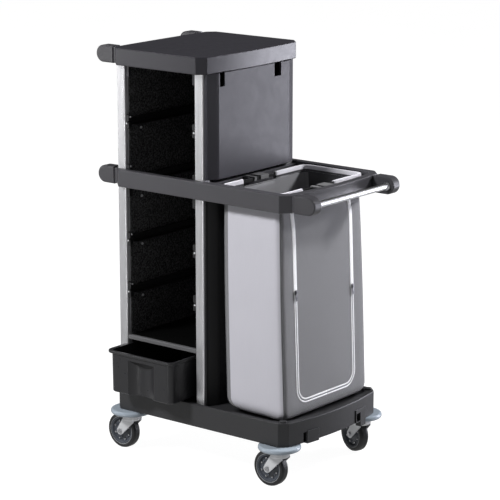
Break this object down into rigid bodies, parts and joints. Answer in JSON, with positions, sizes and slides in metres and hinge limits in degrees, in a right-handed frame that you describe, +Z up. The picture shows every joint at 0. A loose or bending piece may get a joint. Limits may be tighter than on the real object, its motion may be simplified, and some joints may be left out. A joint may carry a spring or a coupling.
{
  "type": "housekeeping cart",
  "caption": "Wheeled housekeeping cart with an open shelf tower, pull-out bin, hanging zipped laundry bag, bumper belt and push handle on swivel casters.",
  "frame": {"origin": "centre of the whole cart's envelope at floor level", "axes": "+X along the cart to the push handle, -Y to the open side of the shelf tower, +Z up"},
  "size_m": [0.9836, 0.686, 1.49],
  "materials": {
    "arm_plastic": "moulded, fine texture",
    "axle_steel": "zinc plated",
    "bag_fabric": "coated woven polyester",
    "base_plastic": "moulded, fine texture",
    "belt_plastic": "moulded, fine texture",
    "bin_plastic": "moulded, satin",
    "bumper_rubber": "smooth, non-marking",
    "deck_plastic": "moulded, fine texture",
    "fork_zinc": "zinc plated pressing",
    "frame_black": "powder coat",
    "hook_grey": "satin",
    "hub_plastic": "moulded",
    "liner_black": "coarse texture",
    "panel_black": "moulded, satin",
    "panel_grey": "moulded, satin",
    "post_aluminium": "ribbed extrusion, satin anodised",
    "runner_black": "satin",
    "screw_grey": "satin",
    "shelf_black": "fine texture",
    "trim_grey": "satin",
    "tube_chrome": "bright satin tube",
    "tyre_rubber": "smooth tread",
    "zip_metal": "worn plating"
  },
  "bodies": {
    "cart": {"arm_belt_left_back": "arm_plastic", "arm_belt_left_front": "arm_plastic", "arm_belt_right_back": "arm_plastic", "arm_belt_right_front": "arm_plastic", "arm_deck_left_back": "arm_plastic", "arm_deck_left_front": "arm_plastic", "back_panel": "liner_black", "base_tray": "base_plastic", "belt_ring": "belt_plastic", "bottom_shelf": "shelf_black", "caster_back_left_bumper": "bumper_rubber", "caster_back_right_bumper": "bumper_rubber", "caster_front_left_bumper": "bumper_rubber", "caster_front_right_bumper": "bumper_rubber", "liner_left": "liner_black", "liner_right": "liner_black", "panel_left_lower": "panel_black", "panel_left_upper": "panel_black", "panel_right_lower": "panel_black", "panel_right_upper": "panel_grey", "post_back_left": "post_aluminium", "post_back_right": "post_aluminium", "post_front_left": "post_aluminium", "post_front_right": "post_aluminium", "push_tube": "tube_chrome", "runner_left_1": "runner_black", "runner_left_2": "runner_black", "runner_left_3": "runner_black", "runner_left_4": "runner_black", "runner_right_1": "runner_black", "runner_right_2": "runner_black", "runner_right_3": "runner_black", "runner_right_4": "runner_black", "runner_screws": "screw_grey", "shelf_trim": "trim_grey", "top_deck": "deck_plastic", "tube_belt_left": "tube_chrome", "tube_deck_left": "tube_chrome"},
    "bag": {"laundry_bag": "bag_fabric", "bag_frame": "frame_black", "bag_hooks": "hook_grey"},
    "zip_front": {"zip_slider_front": "zip_metal"},
    "zip_back": {"zip_slider_back": "zip_metal"},
    "bin_body": {"bin": "bin_plastic"},
    "swivel_front_right": {"caster_front_right_fork": "fork_zinc", "caster_front_right_axle": "axle_steel"},
    "wheel_front_right": {"caster_front_right_tyre": "tyre_rubber", "caster_front_right_hub": "hub_plastic"},
    "swivel_back_right": {"caster_back_right_fork": "fork_zinc", "caster_back_right_axle": "axle_steel"},
    "wheel_back_right": {"caster_back_right_tyre": "tyre_rubber", "caster_back_right_hub": "hub_plastic"},
    "swivel_front_left": {"caster_front_left_fork": "fork_zinc", "caster_front_left_axle": "axle_steel"},
    "wheel_front_left": {"caster_front_left_tyre": "tyre_rubber", "caster_front_left_hub": "hub_plastic"},
    "swivel_back_left": {"caster_back_left_fork": "fork_zinc", "caster_back_left_axle": "axle_steel"},
    "wheel_back_left": {"caster_back_left_tyre": "tyre_rubber", "caster_back_left_hub": "hub_plastic"}
  },
  "joints": [
    {"name": "bag_lift", "type": "slide", "parent": "cart", "child": "bag", "axis": [0, 0, 1], "range_m": [0, 0.25]},
    {"name": "zip_front_slide", "type": "slide", "parent": "bag", "child": "zip_front", "axis": [-0.0382, 0, 0.9993], "range_m": [-0.35, 0.24]},
    {"name": "zip_back_slide", "type": "slide", "parent": "bag", "child": "zip_back", "axis": [-0.0382, 0, 0.9993], "range_m": [-0.31, 0.28]},
    {"name": "bin_slide", "type": "slide", "parent": "cart", "child": "bin_body", "axis": [0, -1, 0], "range_m": [0, 0.3]},
    {"name": "caster_front_right_swivel", "type": "hinge", "parent": "cart", "child": "swivel_front_right", "pos_m": [0.33885, -0.217, 0.1435], "axis": [0, 0, 1], "continuous": true},
    {"name": "caster_front_right_roll", "type": "hinge", "parent": "swivel_front_right", "child": "wheel_front_right", "pos_m": [0.30185, -0.217, 0.066], "axis": [0, 1, 0], "continuous": true},
    {"name": "caster_back_right_swivel", "type": "hinge", "parent": "cart", "child": "swivel_back_right", "pos_m": [0.33885, 0.267, 0.1435], "axis": [0, 0, 1], "continuous": true},
    {"name": "caster_back_right_roll", "type": "hinge", "parent": "swivel_back_right", "child": "wheel_back_right", "pos_m": [0.30366, 0.27843, 0.066], "axis": [0.309, 0.9511, 0], "continuous": true},
    {"name": "caster_front_left_swivel", "type": "hinge", "parent": "cart", "child": "swivel_front_left", "pos_m": [-0.35115, -0.217, 0.1435], "axis": [0, 0, 1], "continuous": true},
    {"name": "caster_front_left_roll", "type": "hinge", "parent": "swivel_front_left", "child": "wheel_front_left", "pos_m": [-0.38815, -0.217, 0.066], "axis": [0, 1, 0], "continuous": true},
    {"name": "caster_back_left_swivel", "type": "hinge", "parent": "cart", "child": "swivel_back_left", "pos_m": [-0.35115, 0.267, 0.1435], "axis": [0, 0, 1], "continuous": true},
    {"name": "caster_back_left_roll", "type": "hinge", "parent": "swivel_back_left", "child": "wheel_back_left", "pos_m": [-0.38815, 0.267, 0.066], "axis": [0, 1, 0], "continuous": true}
  ]
}
